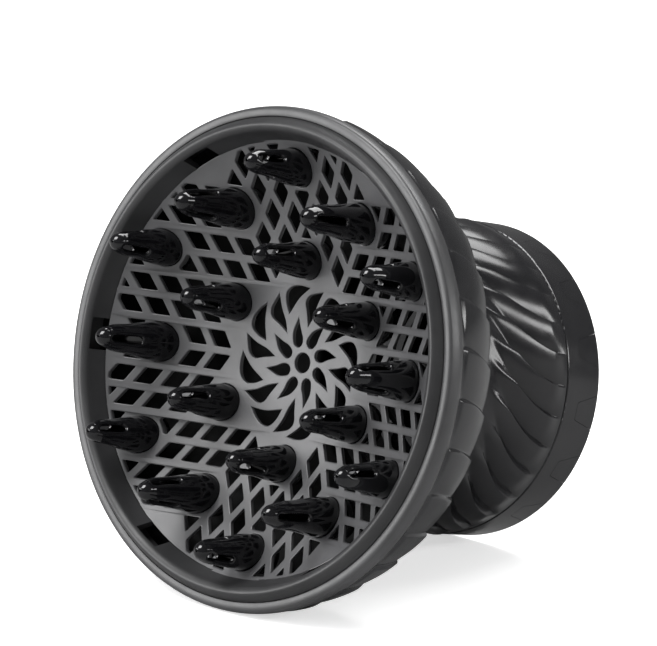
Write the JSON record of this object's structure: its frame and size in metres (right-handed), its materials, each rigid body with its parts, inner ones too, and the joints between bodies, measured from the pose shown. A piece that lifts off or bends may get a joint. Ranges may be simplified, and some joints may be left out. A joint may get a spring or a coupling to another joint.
{
  "type": "dryer diffuser",
  "caption": "Hair dryer diffuser with a pleated funnel shell, a concave grille with hollow fingers and a twist ring that closes jaws on the nozzle.",
  "frame": {"origin": "centre of the twist ring's rear face, which the part stands on", "axes": "+Z along the air path towards the finger tips; +X through a middle finger"},
  "size_m": [0.165, 0.165, 0.1306],
  "materials": {
    "gloss_shell": "gloss black moulded plastic",
    "gloss_ring": "gloss black moulded plastic",
    "gloss_prong": "jet black polished plastic",
    "satin_grille": "fine satin dark grey plastic",
    "inner_plastic": "satin black moulded nylon",
    "pad_rubber": "matt silicone rubber",
    "seal_rubber": "matt rubber",
    "steel": "plain steel"
  },
  "bodies": {
    "housing": {"outer_shell": "gloss_shell", "grille_bowl": "satin_grille", "prong_outer_1": "gloss_prong", "prong_outer_2": "gloss_prong", "prong_outer_3": "gloss_prong", "prong_outer_4": "gloss_prong", "prong_outer_5": "gloss_prong", "prong_outer_6": "gloss_prong", "prong_mid_1": "gloss_prong", "prong_mid_2": "gloss_prong", "prong_mid_3": "gloss_prong", "prong_mid_4": "gloss_prong", "prong_mid_5": "gloss_prong", "prong_mid_6": "gloss_prong", "prong_inner_1": "gloss_prong", "prong_inner_2": "gloss_prong", "prong_inner_3": "gloss_prong", "prong_inner_4": "gloss_prong", "prong_inner_5": "gloss_prong", "prong_inner_6": "gloss_prong", "iris_deck": "inner_plastic", "pivot_pins": "steel", "deck_screws": "steel", "ring_seal": "seal_rubber"},
    "twist_ring": {"lock_ring": "gloss_ring", "rear_cap": "gloss_ring"},
    "jaw_1_body": {"jaw_1": "inner_plastic", "jaw_pad_1": "pad_rubber"},
    "jaw_2_body": {"jaw_2": "inner_plastic", "jaw_pad_2": "pad_rubber"},
    "jaw_3_body": {"jaw_3": "inner_plastic", "jaw_pad_3": "pad_rubber"},
    "jaw_4_body": {"jaw_4": "inner_plastic", "jaw_pad_4": "pad_rubber"},
    "jaw_5_body": {"jaw_5": "inner_plastic", "jaw_pad_5": "pad_rubber"},
    "jaw_6_body": {"jaw_6": "inner_plastic", "jaw_pad_6": "pad_rubber"},
    "jaw_7_body": {"jaw_7": "inner_plastic", "jaw_pad_7": "pad_rubber"},
    "jaw_8_body": {"jaw_8": "inner_plastic", "jaw_pad_8": "pad_rubber"}
  },
  "joints": [
    {"name": "ring_twist", "type": "hinge", "parent": "housing", "child": "twist_ring", "pos_m": [0, 0, 0], "axis": [0, 0, 1], "range_deg": [0, 30]},
    {"name": "jaw_1_pivot", "type": "hinge", "parent": "housing", "child": "jaw_1_body", "pos_m": [0.0455, 0, 0.0068], "axis": [0, 0, 1], "range_deg": [0, 36.01]},
    {"name": "jaw_2_pivot", "type": "hinge", "parent": "housing", "child": "jaw_2_body", "pos_m": [0.03217, 0.03217, 0.0068], "axis": [0, 0, 1], "range_deg": [0, 36.01]},
    {"name": "jaw_3_pivot", "type": "hinge", "parent": "housing", "child": "jaw_3_body", "pos_m": [0, 0.0455, 0.0068], "axis": [0, 0, 1], "range_deg": [0, 36.01]},
    {"name": "jaw_4_pivot", "type": "hinge", "parent": "housing", "child": "jaw_4_body", "pos_m": [-0.03217, 0.03217, 0.0068], "axis": [0, 0, 1], "range_deg": [0, 36.01]},
    {"name": "jaw_5_pivot", "type": "hinge", "parent": "housing", "child": "jaw_5_body", "pos_m": [-0.0455, 0, 0.0068], "axis": [0, 0, 1], "range_deg": [0, 36.01]},
    {"name": "jaw_6_pivot", "type": "hinge", "parent": "housing", "child": "jaw_6_body", "pos_m": [-0.03217, -0.03217, 0.0068], "axis": [0, 0, 1], "range_deg": [0, 36.01]},
    {"name": "jaw_7_pivot", "type": "hinge", "parent": "housing", "child": "jaw_7_body", "pos_m": [0, -0.0455, 0.0068], "axis": [0, 0, 1], "range_deg": [0, 36.01]},
    {"name": "jaw_8_pivot", "type": "hinge", "parent": "housing", "child": "jaw_8_body", "pos_m": [0.03217, -0.03217, 0.0068], "axis": [0, 0, 1], "range_deg": [0, 36.01]}
  ],
  "couplings": [
    {"joint": "jaw_1_pivot", "follows": "ring_twist", "ratio": 1.2},
    {"joint": "jaw_2_pivot", "follows": "ring_twist", "ratio": 1.2},
    {"joint": "jaw_3_pivot", "follows": "ring_twist", "ratio": 1.2},
    {"joint": "jaw_4_pivot", "follows": "ring_twist", "ratio": 1.2},
    {"joint": "jaw_5_pivot", "follows": "ring_twist", "ratio": 1.2},
    {"joint": "jaw_6_pivot", "follows": "ring_twist", "ratio": 1.2},
    {"joint": "jaw_7_pivot", "follows": "ring_twist", "ratio": 1.2},
    {"joint": "jaw_8_pivot", "follows": "ring_twist", "ratio": 1.2}
  ]
}
